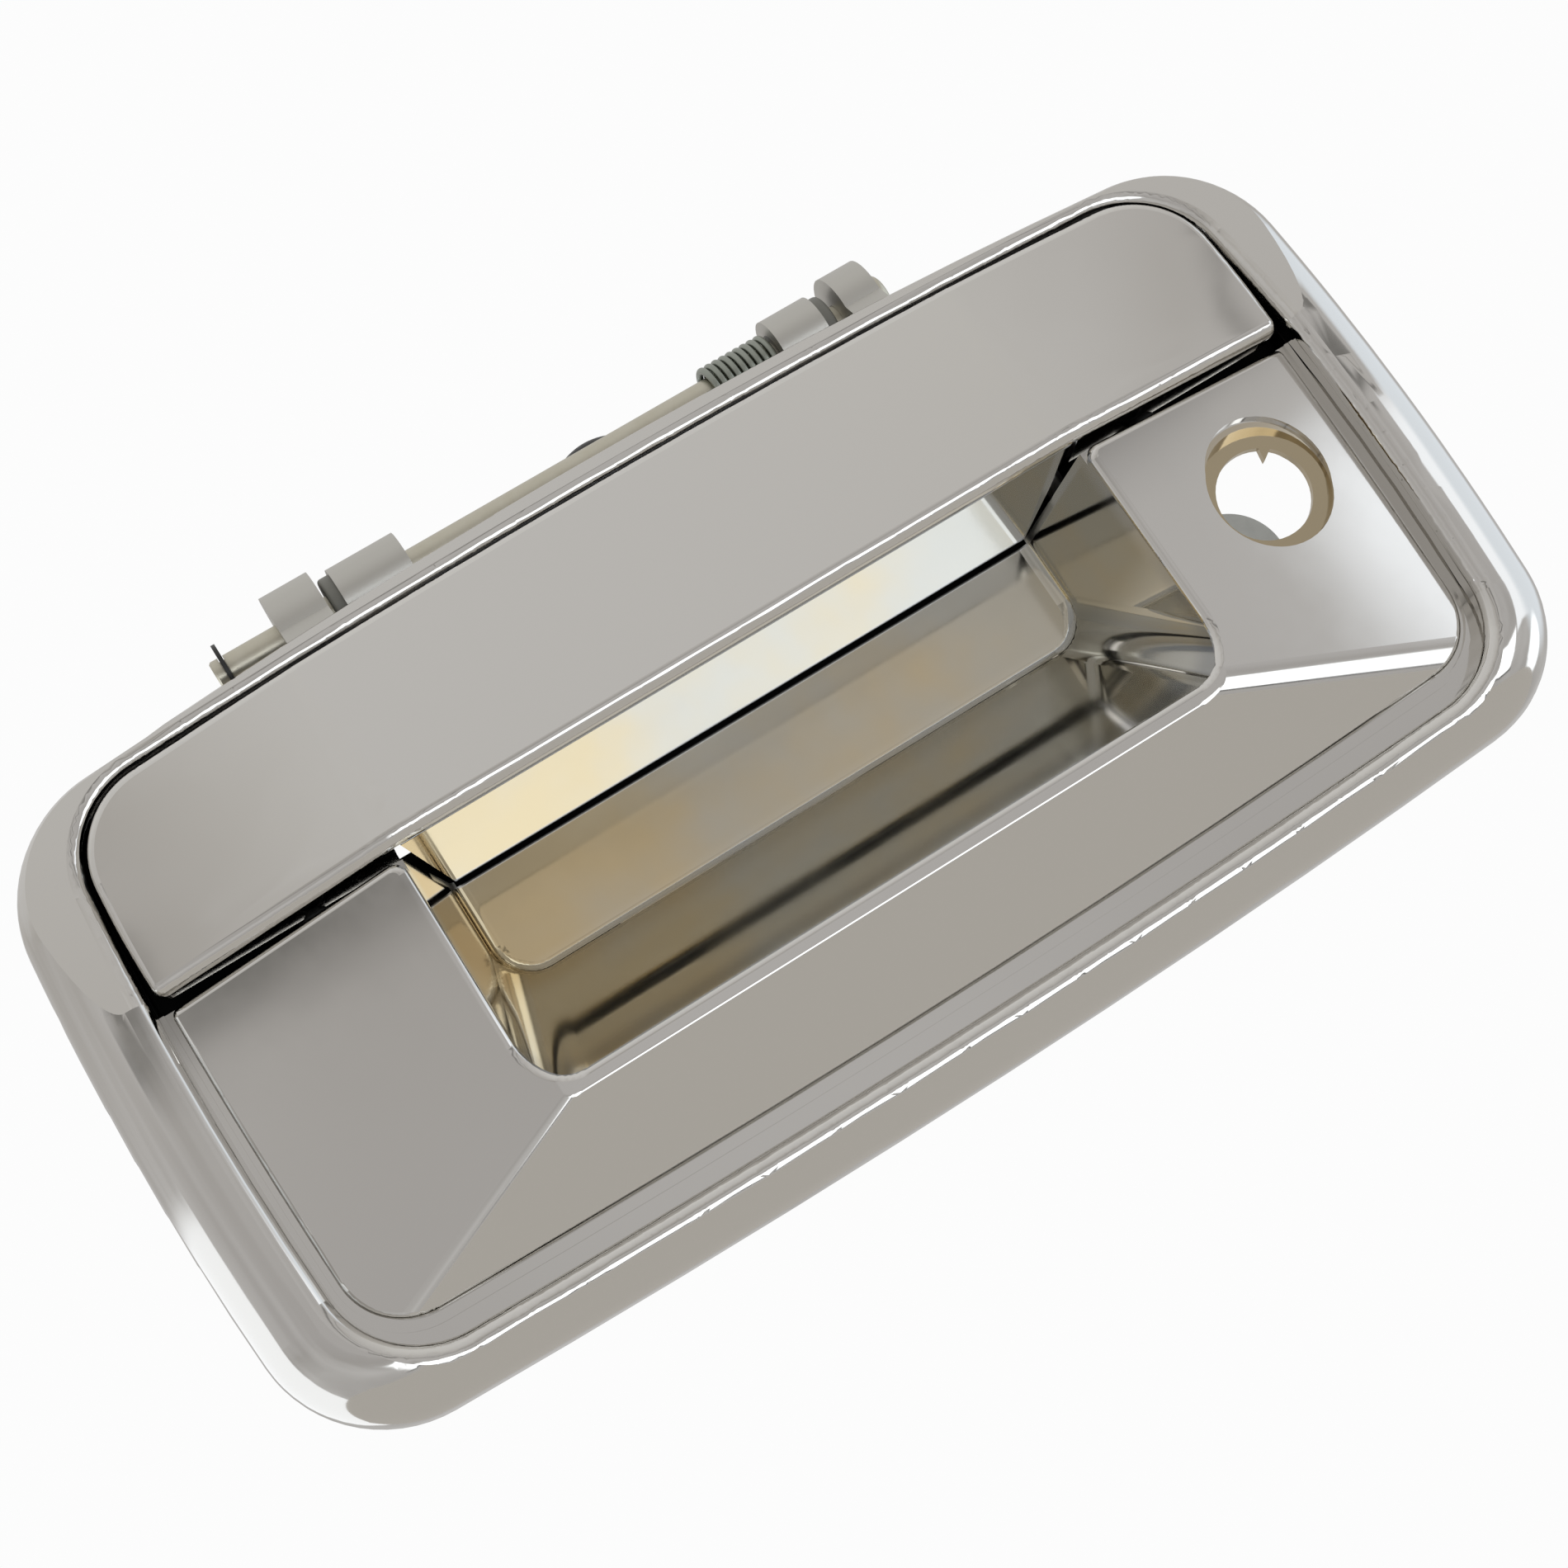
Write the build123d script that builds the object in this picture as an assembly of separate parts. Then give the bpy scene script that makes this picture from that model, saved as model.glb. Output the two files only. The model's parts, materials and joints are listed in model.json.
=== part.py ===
from build123d import *
import math
import os

# Car door outside handle: chromed bezel with finger pocket and keyhole, pull flap on a cross pin,
# release lever behind. Millimetres. X along the handle (+X keyhole end), +Y into the door, +Z up.
# The pieces are drawn from the centre of the bezel's seat on the door skin. On export they shift so
# that the origin lies midway between the two mounting studs, on the seats of their bosses.

# ---- bezel outline and section ----
BEZEL_HALF_W = 98.9
BEZEL_SHIFT_X = -0.5
BEZEL_HALF_H = 49.7
SIDE_BULGE = 2.7
TOP_BULGE = 5.0
BOTTOM_BULGE = 2.8
TOP_CORNER_R = 19.0
BOTTOM_CORNER_R = 18.0
CREST = 9.5
ROLL_R = 8.5
INNER_ROLL_R = 2.0
BORDER_Y = -5.4
TOP_FALL_Z = 14.0
OPEN_HALF_W = 88.0
OPEN_TOP = 44.9
OPEN_BOTTOM = -42.2
OPEN_BULGE = 1.9
OPEN_TOP_BULGE = 2.6
OPEN_CORNER_R = 13.0
WALL = 2.2

# ---- raised panel, pocket and keyhole ----
PANEL_HALF_W = 86.3
PANEL_BOTTOM = -38.2
PANEL_CORNER_R = 9.5
PANEL_EDGE_Y = -5.5
GROOVE_Y = -4.5
RIM_Y = -13.5
RIM_HALF_W = 52.2
RIM_FLAT_HALF_W = 50.2
RIM_BOTTOM = -22.3
FOLD_Z = -24.3
RIM_R = 1.1
POCKET_CORNER_R = 6.5
POCKET_BACK_R = 2.0
LAND_TOP = 13.0
FLOOR_Y = -0.4
BUMPER_X = 64.6
BUMPER_Z = 15.6
POCKET_BACK_Y = 15.0
POCKET_BACK_HALF_W = 47.3
POCKET_BACK_BOTTOM = -3.7
POCKET_BACK_TOP = 12.2
RIGHT_HIP_R = 9.0
LEFT_HIP_R = 4.0
LAND_CORNER_R = 2.0
PERIMETER_R = 0.9
APRON_HALF_W = 56.0
APRON_Y = 17.8
APRON_TOP = 20.5
SCOOP_DEPTH = 0.7
SCOOP_SHIFT = (0.5, 1.1)
KEY_X = 72.0
KEY_Z = -3.5
KEY_MOUTH_R = 9.05
KEY_SEAT_Y = -5.4
KEY_BORE_R = 6.65
KEY_FLANGE_END = -4.2
KEY_REAR_R = 9.6
KEY_BOSS_END = 2.0
RETAINER_Y = -3.0
RETAINER_T = 1.0
EAR_X = 63.0
EAR_Z = -9.6
EAR_R = 8.0

# ---- hinge ----
AXIS_Y = 12.0
AXIS_Z = 54.0
PIN_R = 2.5
RUNNING = 0.05
BEZEL_LUG_R = 6.7
FLAP_LUG_R = 5.6
LEFT_LUG = (-49.4, -42.0)
RIGHT_LUG = (42.0, 47.7)
LEFT_ARM = (-39.6, -29.1)
RIGHT_ARM = (31.3, 38.8)
BUSH_R = 3.5
FLANGE_R = 4.9
FLANGE_T = 1.8
PIN_LEFT = -59.8
PIN_GROOVE_R = 1.9
CLIP_X = -58.0

# ---- flap ----
FLAP_HALF_W = 86.6
FLAP_TOP = 44.2
FLAP_BOTTOM = 14.3
LIP_Y = -15.0
FLAP_END_Y = -8.6
FLAP_TOP_Y = -8.6
SKIN = 2.0
LIP_R = 1.8
EDGE_R = 1.2
FLAP_TOP_BULGE = 2.5
FLAP_CORNER_R = 12.0
PLATE_FRONT_Y = -12.7
PLATE_BACK_Y = 14.0
PLATE_THICK = 1.6
PLATE_FRONT_TOP = 16.0
PLATE_FALL = 0.066
PLATE_GAP = 0.9

# ---- fixings and release lever ----
GASKET_T = 1.2
GASKET_INNER = 3.4
STUD_X = 70.0
STUD_Z = 28.0
STUD_R = 3.0
STUD_ROOT_R = 3.6
STUD_ROOT_Y = 2.4
STUD_END_Y = 28.0
BOSS_END_Y = 9.0
PLATE_Y = 17.0
PLATE_T = 2.0
PIVOT_X = 20.0
PIVOT_Z = 41.0
LEVER_Y = 19.8
LEVER_T = 2.5
CLIP_CX = 2.0
CLIP_CZ = 50.0
CLIP_BUTTON_R = 9.6
PAD_X = 35.0
PAD_Z = 45.2
PAD_R = 4.0
SCREW_X = 44.9
SCREW_Z = (25.5, 38.5)
SCREW_R = 1.8


def prism_x(points, x0, x1):
    """Solid between x0 and x1 from an outline of (y, z) points."""
    return extrude(Plane.YZ.offset(x0) * make_face(Polyline(*points, close=True)), x1 - x0)


def prism_y(points, y0, y1):
    """Solid between y0 and y1 from an outline of (x, z) points."""
    return extrude(Plane.XZ.offset(-y1) * make_face(Polyline(*points, close=True)), y1 - y0)


def prism_z(points, z0, z1):
    """Solid between z0 and z1 from an outline of (x, y) points."""
    return extrude(Plane.XY.offset(z0) * make_face(Polyline(*points, close=True)), z1 - z0)


def block(x0, x1, y0, y1, z0, z1):
    return Pos((x0 + x1) / 2, (y0 + y1) / 2, (z0 + z1) / 2) * Box(x1 - x0, y1 - y0, z1 - z0)


def rod_x(x0, x1, y, z, r):
    return Pos((x0 + x1) / 2, y, z) * Rot(0, 90, 0) * Cylinder(r, x1 - x0)


def rod_y(y0, y1, x, z, r):
    return Pos(x, (y0 + y1) / 2, z) * Rot(90, 0, 0) * Cylinder(r, y1 - y0)


def bowed_face(half_w, top, bottom, side_bow, top_bow, bottom_bow, top_corner, bottom_corner):
    """Rounded rectangle whose four sides bow outwards a little."""
    side = half_w - side_bow
    upper = top - top_bow
    lower = bottom + bottom_bow
    middle = (upper + lower) / 2
    edges = [
        ThreePointArc((-side, upper), (0, top), (side, upper)),
        ThreePointArc((side, upper), (half_w, middle), (side, lower)),
        ThreePointArc((side, lower), (0, bottom), (-side, lower)),
        ThreePointArc((-side, lower), (-half_w, middle), (-side, upper)),
    ]
    face = make_face(edges)
    face = fillet([v for v in face.vertices() if v.Y > middle], top_corner)
    corners = [v for v in face.vertices() if v.Y < middle]
    return fillet(corners, bottom_corner)


def slab(face, y0, y1):
    return extrude(Plane.XZ.offset(-y1) * face, y1 - y0)


def outer_outline(inset):
    face = bowed_face(BEZEL_HALF_W - inset, BEZEL_HALF_H - inset, -BEZEL_HALF_H + inset, SIDE_BULGE,
                      TOP_BULGE, BOTTOM_BULGE, TOP_CORNER_R - inset, BOTTOM_CORNER_R - inset)
    return Pos(BEZEL_SHIFT_X, 0, 0) * face


def opening_outline(grow):
    return bowed_face(OPEN_HALF_W + grow, OPEN_TOP + grow, OPEN_BOTTOM - grow,
                      OPEN_BULGE, OPEN_TOP_BULGE, OPEN_BULGE, OPEN_CORNER_R + grow, OPEN_CORNER_R + grow)


def panel_outline(grow):
    return bowed_face(PANEL_HALF_W + grow, 60.0, PANEL_BOTTOM - grow, 1.4, OPEN_BULGE, OPEN_BULGE,
                      PANEL_CORNER_R + grow, PANEL_CORNER_R + grow)


def bezel_frame():
    """Rolled ring round the opening, its upper border lying lower, hollow behind."""
    ring = slab(outer_outline(0), -CREST, 0)
    ring = fillet(ring.faces().sort_by(Axis.Y)[0].edges(), ROLL_R)
    beyond = BEZEL_HALF_H + 0.3
    falling_top = prism_x([(-CREST - 0.1, TOP_FALL_Z), (BORDER_Y, OPEN_TOP), (BORDER_Y + 0.8, beyond),
                           (-20, beyond), (-20, TOP_FALL_Z)], -110, 110)
    ring = ring - falling_top - slab(opening_outline(0), -20, 5)
    inner_walls = [f for f in ring.faces() if abs(f.normal_at(f.center()).Y) < 0.01
                   and abs(f.center().X) < OPEN_HALF_W + 0.2 and OPEN_BOTTOM - 0.2 < f.center().Z < OPEN_TOP + 0.2]
    front_edges = [e for f in inner_walls for e in f.edges()
                   if e.center().Y < GROOVE_Y and abs(e.tangent_at(0.5).Y) < 0.9]
    ring = fillet(front_edges, INNER_ROLL_R)
    back_channel = slab(outer_outline(2.6), -4.0, 5) - slab(opening_outline(WALL), -10, 6)
    return ring - back_channel


def hip_solid(half_w, edge_y, rim_half_w, rim_y, top, fold, bottom, back):
    """Raised panel body: flat rim falling to both ends and to the lower edge."""
    ends = prism_z([(-half_w, back), (-half_w, edge_y), (-rim_half_w, rim_y), (rim_half_w, rim_y),
                    (half_w, edge_y), (half_w, back)], -60, 60)
    lower = prism_x([(back, top), (rim_y, top), (rim_y, fold), (edge_y, bottom), (back, bottom)], -100, 100)
    return ends & lower


def is_hip(edge):
    """True for the two slanting edges between the lands and the lower slope."""
    along = edge.tangent_at(0.5)
    return abs(along.X) > 0.3 and abs(along.Z) > 0.3


def panel_hull():
    """Lands and lower slope as one hip with rounded creases and a rounded perimeter."""
    hull = hip_solid(PANEL_HALF_W, PANEL_EDGE_Y, RIM_FLAT_HALF_W, RIM_Y, LAND_TOP, FOLD_Z, PANEL_BOTTOM, 0)
    hull = fillet([e for e in hull.edges() if is_hip(e) and e.center().X > 0], RIGHT_HIP_R)
    hull = fillet([e for e in hull.edges() if is_hip(e) and e.center().X < 0], LEFT_HIP_R)
    hull = hull & slab(panel_outline(0), -30, 1)
    perimeter = []
    for edge in hull.edges():
        low = max(abs((edge @ 0).Z - PANEL_BOTTOM), abs((edge @ 1).Z - PANEL_BOTTOM)) < 3.2
        outside = min(abs((edge @ 0).X), abs((edge @ 1).X)) > PANEL_HALF_W - 10.3
        raised = edge.center().Y < -3 and abs(edge.tangent_at(0.5).Y) < 0.9
        if raised and edge.center().Z < LAND_TOP - 0.5 and (low or outside):
            perimeter.append(edge)
    return fillet(perimeter, PERIMETER_R)


def panel_shell():
    """The hull cut through by the pocket, its rim rolled over, hollow behind."""
    outer = panel_hull() - pocket_room(0, POCKET_BACK_Y, 70)
    corners = [e for e in outer.edges() if abs(e.center().Z - LAND_TOP) < 0.1
               and abs(e.tangent_at(0.5).Y) > 0.9 and abs(e.center().X) < 60]
    outer = fillet(corners, LAND_CORNER_R)
    rim = [e for e in outer.edges() if e.center().Y < RIM_Y + 1.6 and abs(e.center().X) < RIM_HALF_W + 0.3
           and RIM_BOTTOM - 0.3 < e.center().Z < LAND_TOP - 0.05 and abs(e.tangent_at(0.5).Y) < 0.9]
    tops = [e for e in outer.edges() if abs(e.center().Z - LAND_TOP) < 0.05
            and abs(e.tangent_at(0.5).X) > 0.9 and e.center().Y < GROOVE_Y]
    outer = fillet(rim + tops, RIM_R)
    inner = hip_solid(PANEL_HALF_W - 2.4, PANEL_EDGE_Y + 2.4, RIM_FLAT_HALF_W, RIM_Y + 2.5, LAND_TOP - WALL,
                      FOLD_Z + 0.9, PANEL_BOTTOM + 2.5, 3)
    return outer - (inner & slab(panel_outline(-2.4), -30, 6))


def groove_plate():
    plate = slab(opening_outline(0.5), GROOVE_Y, GROOVE_Y + WALL)
    plate = plate - slab(panel_outline(-1.0), -30, 6) - block(-95, 95, -10, 5, LAND_TOP, 60)
    bead = slab(panel_outline(1.5), GROOVE_Y - 0.5, GROOVE_Y + 0.5) - slab(panel_outline(0.8), -30, 6)
    return plate + (bead & block(-95, 95, -10, 5, -60, LAND_TOP))


def pocket_room(grow, back, top):
    """Space of the finger pocket, grown outwards for the cup around it."""
    slope = (RIM_HALF_W - POCKET_BACK_HALF_W) / (POCKET_BACK_Y - RIM_Y)
    front = -24.0
    wide = RIM_HALF_W + (RIM_Y - front) * slope + grow
    narrow = POCKET_BACK_HALF_W - (back - POCKET_BACK_Y) * slope + grow
    plan = prism_z([(-wide, front), (-narrow, back), (narrow, back), (wide, front)], -50, 80)
    fall = (POCKET_BACK_BOTTOM - RIM_BOTTOM) / (POCKET_BACK_Y - RIM_Y)
    drop = grow * 1.2
    low_front = RIM_BOTTOM - (RIM_Y - front) * fall - drop
    low_back = POCKET_BACK_BOTTOM + (back - POCKET_BACK_Y) * fall - drop
    side = prism_x([(front, top), (front, low_front), (back, low_back), (back, top)], -80, 80)
    room = plan & side
    slanted = [e for e in room.edges() if front + 1 < e.center().Y < back - 1 and e.center().Z < 0]
    room = fillet(slanted, POCKET_CORNER_R + grow * 0.5)
    rear = [e for e in room.faces().sort_by(Axis.Y)[-1].edges() if e.center().Z < top - 0.1]
    return fillet(rear, POCKET_BACK_R + grow)


def pocket_cup():
    cup = pocket_room(WALL, POCKET_BACK_Y + WALL, 70) & block(-90, 90, RIM_Y + 2.3, 30, -60, LAND_TOP)
    return cup - block(-90, 90, POCKET_BACK_Y - 0.5, 30, POCKET_BACK_TOP, 60)


def rear_apron():
    """Ledge and upright behind the flap's finger plate that close the pocket to the door."""
    wide = APRON_HALF_W
    low = POCKET_BACK_TOP - WALL
    rear_y = APRON_Y + WALL
    apron = block(-wide, wide, POCKET_BACK_Y, rear_y, low, POCKET_BACK_TOP)
    apron = apron + block(-wide, wide, APRON_Y, rear_y, low, APRON_TOP)
    for side in (-1, 1):
        x0, x1 = sorted((side * (wide - WALL), side * wide))
        apron = apron + block(x0, x1, FLOOR_Y + 0.2, rear_y, low, APRON_TOP)
    return apron


def recess_floors():
    """Plates behind the flap, with the small ledge walls along the tops of the lands."""
    floors = None
    opening = slab(opening_outline(0.3), -20, 20) & slab(outer_outline(GASKET_INNER + 0.4), -20, 20)
    for side in (-1, 1):
        x_in, x_out = sorted((side * 49.4, side * 90.0))
        plate = block(x_in, x_out, FLOOR_Y, FLOOR_Y + WALL, LAND_TOP - WALL, OPEN_TOP + 1) & opening
        plate = plate - block(-51.8, 51.8, -1, 5, LAND_TOP - 5, 20)
        floors = plate if floors is None else floors + plate
    return floors


def hinge_rib(x0, x1):
    outline = [(0, 20), (PLATE_Y, 20), (PLATE_Y, 46), (18.6, 53), (AXIS_Y, 57), (5.4, 53), (3.7, 50.5),
               (3.7, 44.5), (0, 43)]
    return prism_x(outline, x0, x1) + rod_x(x0, x1, AXIS_Y, AXIS_Z, BEZEL_LUG_R)


def rib_roots():
    """Feet that tie the two hinge ribs to the recess floors."""
    left = block(-52.5, LEFT_LUG[1], FLOOR_Y, FLOOR_Y + WALL, 20, 43)
    right = block(RIGHT_LUG[0], 52.5, FLOOR_Y, FLOOR_Y + WALL, 20, 43)
    left_web = block(-52.5, LEFT_LUG[0] + 0.5, 0, 10, 28, 30.5)
    right_web = block(RIGHT_LUG[1] - 0.5, 52.5, 0, 10, 28, 30.5)
    return left + right + left_web + right_web


def land_y(x):
    """Height of the land's face at x."""
    return RIM_Y + (x - RIM_FLAT_HALF_W) * (PANEL_EDGE_Y - RIM_Y) / (PANEL_HALF_W - RIM_FLAT_HALF_W)


def keyhole_boss():
    boss = rod_y(-11.5, KEY_BOSS_END, KEY_X, KEY_Z, KEY_MOUTH_R + 2.4)
    skin = 0.6
    keep = prism_z([(RIM_HALF_W, 8), (RIM_HALF_W, land_y(RIM_HALF_W) + skin), (90, land_y(90) + skin),
                    (90, 8)], -40, 40)
    return boss & keep


def keyhole_room():
    """Stepped key cylinder seat with a shallow thumb scoop round its upper edge and one guide tooth."""
    mouth = rod_y(-30, KEY_SEAT_Y, KEY_X, KEY_Z, KEY_MOUTH_R)
    bore = rod_y(-30, KEY_BOSS_END, KEY_X, KEY_Z, KEY_BORE_R)
    rear = rod_y(KEY_FLANGE_END, KEY_BOSS_END + 1, KEY_X, KEY_Z, KEY_REAR_R)
    tooth = prism_y([(KEY_X + 3.2, KEY_Z + 6.3), (KEY_X + 2.8, KEY_Z + 3.9), (KEY_X + 4.8, KEY_Z + 5.2)],
                    KEY_SEAT_Y, KEY_FLANGE_END)
    tilt = math.degrees(math.atan2(PANEL_EDGE_Y - RIM_Y, PANEL_HALF_W - RIM_FLAT_HALF_W))
    centre = Pos(KEY_X, land_y(KEY_X) + SCOOP_DEPTH, KEY_Z) * Rot(0, 0, tilt)
    scoop = centre * Pos(SCOOP_SHIFT[0], -10, SCOOP_SHIFT[1]) * Rot(90, 0, 0) * Cylinder(KEY_MOUTH_R + 0.1, 20)
    return mouth + (bore - tooth) + rear + scoop


def retainer_slot():
    """Slot through the lower left of the boss for the cylinder retainer."""
    return block(KEY_X - 14, KEY_X, RETAINER_Y - 0.2, RETAINER_Y + RETAINER_T + 0.2, KEY_Z - 15, KEY_Z + 2.4)


def stud_boss(x):
    return rod_y(WALL - 0.5, BOSS_END_Y, x, STUD_Z, 6.0)


def bezel():
    body = bezel_frame() + groove_plate() + recess_floors()
    body = body + panel_shell() + keyhole_boss()
    body = body + pocket_cup() + rear_apron()
    for span in (LEFT_LUG, RIGHT_LUG):
        body = body + hinge_rib(*span)
    body = body + rib_roots()
    for side in (-1, 1):
        body = body + stud_boss(side * STUD_X)
    room = pocket_room(0, POCKET_BACK_Y, 70)
    body = body - (room & block(-60, 60, -30, 16, -40, LAND_TOP + 7))
    body = body - keyhole_room() - retainer_slot()
    for side in (-1, 1):
        body = body - rod_y(-2, 5, side * BUMPER_X, BUMPER_Z, 1.45)
    body = body - rod_x(-70, 70, AXIS_Y, AXIS_Z, PIN_R + RUNNING)
    for side in (-1, 1):
        body = body - rod_y(STUD_ROOT_Y, 40, side * STUD_X, STUD_Z, STUD_ROOT_R)
    for z in SCREW_Z:
        body = body - rod_y(PLATE_Y - 8, PLATE_Y + 1, SCREW_X, z, SCREW_R)
    return body


def arched_section(z, middle_y, end_y, back_y):
    """Outline at height z of the flap: flat middle, soft shoulders, ends falling back."""
    half = FLAP_HALF_W + 3
    fall = (end_y - middle_y) / (FLAP_HALF_W - 51.0)
    tip_y = middle_y + fall * (half - 51.0)
    front = [(-half, back_y), (-half, tip_y), (-51.0, middle_y), (51.0, middle_y), (half, tip_y), (half, back_y)]
    face = make_face(Polyline(*front, close=True))
    shoulders = [v for v in face.vertices() if abs(abs(v.X) - 51.0) < 0.01]
    return Pos(0, 0, z) * fillet(shoulders, 40.0)


def flap_body(inset, back_y):
    """Loft from the lip up to the top edge; the inset version hollows the shell."""
    low_z = FLAP_BOTTOM - 3
    high_z = FLAP_TOP + 3
    rise = (FLAP_TOP_Y - LIP_Y) / (FLAP_TOP - FLAP_BOTTOM)
    low = arched_section(low_z, LIP_Y - 3 * rise + inset, FLAP_END_Y + inset, back_y)
    high = arched_section(high_z, FLAP_TOP_Y + 3 * rise + inset, FLAP_TOP_Y + 1.2 + inset, back_y)
    return loft([low, high])


def flap_outline(inset):
    half = FLAP_HALF_W - inset
    side = half - 1.6
    upper = FLAP_TOP - inset - FLAP_TOP_BULGE
    lower = FLAP_BOTTOM + inset
    corner = FLAP_CORNER_R - inset
    edges = [
        ThreePointArc((-side, upper), (0, FLAP_TOP - inset), (side, upper)),
        ThreePointArc((side, upper), (half - 0.4, 32), (half, lower)),
        Line((half, lower), (-half, lower)),
        ThreePointArc((-half, lower), (-half + 0.4, 32), (-side, upper)),
    ]
    face = make_face(edges)
    tops = [v for v in face.vertices() if v.Y > 30]
    return fillet(tops, corner)


def flap_shell():
    outer = flap_body(0, 0) & slab(flap_outline(0), -40, 0)
    rear = prism_x([(-5.2, 10), (-6.6, 46), (2, 46), (2, 10)], -100, 100)
    outer = outer - rear
    front = [e for e in outer.edges() if e.center().Y < -6.9 and e.length > 3]
    lip = [e for e in front if e.center().Z < FLAP_BOTTOM + 0.5]
    outer = fillet(lip, LIP_R)
    rest = [e for e in outer.edges() if e.center().Y < -7.2 and e.center().Z > FLAP_BOTTOM + 4 and e.length > 3
            and not (abs(e.center().X) < FLAP_HALF_W - 6 and e.center().Z < FLAP_TOP - 6)]
    outer = fillet(rest, EDGE_R)
    inner = flap_body(SKIN, 1) & slab(flap_outline(SKIN), -40, 2)
    return outer - inner


def plate_top(y):
    """Height of the finger plate's upper face at depth y."""
    return PLATE_FRONT_TOP - (y - PLATE_FRONT_Y) * PLATE_FALL


def finger_plate():
    """Plate under the flap for the fingertips, ends following the pocket walls."""
    slope = (RIM_HALF_W - POCKET_BACK_HALF_W) / (POCKET_BACK_Y - RIM_Y)
    front = RIM_HALF_W - PLATE_GAP - (PLATE_FRONT_Y - RIM_Y) * slope
    back = RIM_HALF_W - PLATE_GAP - (PLATE_BACK_Y - RIM_Y) * slope
    plan = prism_z([(-front, PLATE_FRONT_Y), (-back, PLATE_BACK_Y), (back, PLATE_BACK_Y), (front, PLATE_FRONT_Y)],
                   10, 20)
    rear_top = plate_top(PLATE_BACK_Y)
    side = prism_x([(PLATE_FRONT_Y, PLATE_FRONT_TOP - PLATE_THICK), (PLATE_BACK_Y, rear_top - PLATE_THICK),
                    (PLATE_BACK_Y, rear_top), (PLATE_FRONT_Y, PLATE_FRONT_TOP)], -60, 60)
    plate = plan & side
    return fillet(plate.edges().filter_by(Axis.X), 0.5)


def flap_arm(span):
    """Hollow arm from the finger plate up to the hinge lug."""
    x0, x1 = span
    rear_y = AXIS_Y + FLAP_LUG_R - 1.0
    web = [(-13.4, PLATE_FRONT_TOP + 0.5), (PLATE_FRONT_Y + 0.2, plate_top(PLATE_FRONT_Y + 0.2)),
           (PLATE_BACK_Y, plate_top(PLATE_BACK_Y)), (rear_y, 20), (rear_y, AXIS_Z), (AXIS_Y - 4.6, AXIS_Z - 2.5),
           (AXIS_Y - 4.2, 36), (AXIS_Y - 5.5, 33.0), (-9.7, 33.0), (-11.3, 26)]
    arm = prism_x(web, x0, x1)
    core = [(-9.5, 18.6), (rear_y - 2.5, 17.8), (rear_y - 2.5, 44), (AXIS_Y - 1.5, 44), (AXIS_Y - 1.5, 30.5), (-8, 30.5)]
    arm = arm - prism_x(core, x0 + 2.2, x1 - 2.2)
    return arm + rod_x(x0, x1, AXIS_Y, AXIS_Z, FLAP_LUG_R)


def flap():
    half = RIM_HALF_W - 0.2
    plate_seat = block(-half, half, PLATE_FRONT_Y - 0.25, 0, 10, PLATE_FRONT_TOP + 0.4)
    body = flap_shell() - plate_seat
    for span in (LEFT_ARM, RIGHT_ARM):
        body = body + flap_arm(span)
    finger = prism_x([(AXIS_Y + 3, AXIS_Z - 0.5), (AXIS_Y + 3, AXIS_Z - 4.2), (22.3, AXIS_Z - 4.2),
                      (22.3, AXIS_Z - 1.8)], PAD_X - 3, PAD_X + 3)
    body = body + finger
    body = body - rod_x(-60, 60, AXIS_Y, AXIS_Z, BUSH_R)
    return body


def hinge_pin():
    shank = rod_x(PIN_LEFT, RIGHT_LUG[1] + 0.3, AXIS_Y, AXIS_Z, PIN_R)
    groove = rod_x(CLIP_X - 0.4, CLIP_X + 0.4, AXIS_Y, AXIS_Z, PIN_R + 1) - rod_x(
        CLIP_X - 1, CLIP_X + 1, AXIS_Y, AXIS_Z, PIN_GROOVE_R)
    end = shank.edges().sort_by(Axis.X)[0]
    shank = chamfer(end, 0.3) - groove
    head = rod_x(RIGHT_LUG[1] + 0.2, RIGHT_LUG[1] + 2.1, AXIS_Y, AXIS_Z, 3.8)
    head = fillet(head.edges().sort_by(Axis.X)[-1], 1.5)
    return shank + head


def e_clip():
    """Retaining ring: three inner prongs on the pin groove, open below."""
    ring = rod_x(CLIP_X - 0.3, CLIP_X + 0.3, AXIS_Y, AXIS_Z, 4.4)
    ring = ring - rod_x(CLIP_X - 1, CLIP_X + 1, AXIS_Y, AXIS_Z, PIN_R + 0.4)
    prong = block(CLIP_X - 0.3, CLIP_X + 0.3, AXIS_Y - 0.8, AXIS_Y + 0.8, AXIS_Z + PIN_GROOVE_R + 0.05, AXIS_Z + 3.4)
    prongs = prong
    for turn in (110, -110):
        prongs = prongs + Pos(0, AXIS_Y, AXIS_Z) * Rot(turn, 0, 0) * Pos(0, -AXIS_Y, -AXIS_Z) * prong
    mouth = prism_x([(AXIS_Y, AXIS_Z), (AXIS_Y - 2.9, AXIS_Z - 6), (AXIS_Y + 2.9, AXIS_Z - 6)],
                    CLIP_X - 1, CLIP_X + 1)
    return (ring - mouth) + prongs


def hinge_bush(inner_x, outer_x):
    """Flanged sleeve pressed into a flap arm, flange towards the bezel lug."""
    low, high = sorted((inner_x, outer_x))
    sleeve = rod_x(low, high, AXIS_Y, AXIS_Z, BUSH_R)
    away = 1 if outer_x > inner_x else -1
    f0, f1 = sorted((outer_x, outer_x + away * FLANGE_T))
    flange = rod_x(f0, f1, AXIS_Y, AXIS_Z, FLANGE_R)
    rim = flange.edges().sort_by(Axis.X)[-1 if away > 0 else 0]
    flange = fillet(rim, 0.5)
    return sleeve + flange - rod_x(low - 5, high + 5, AXIS_Y, AXIS_Z, PIN_R + RUNNING)


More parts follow.
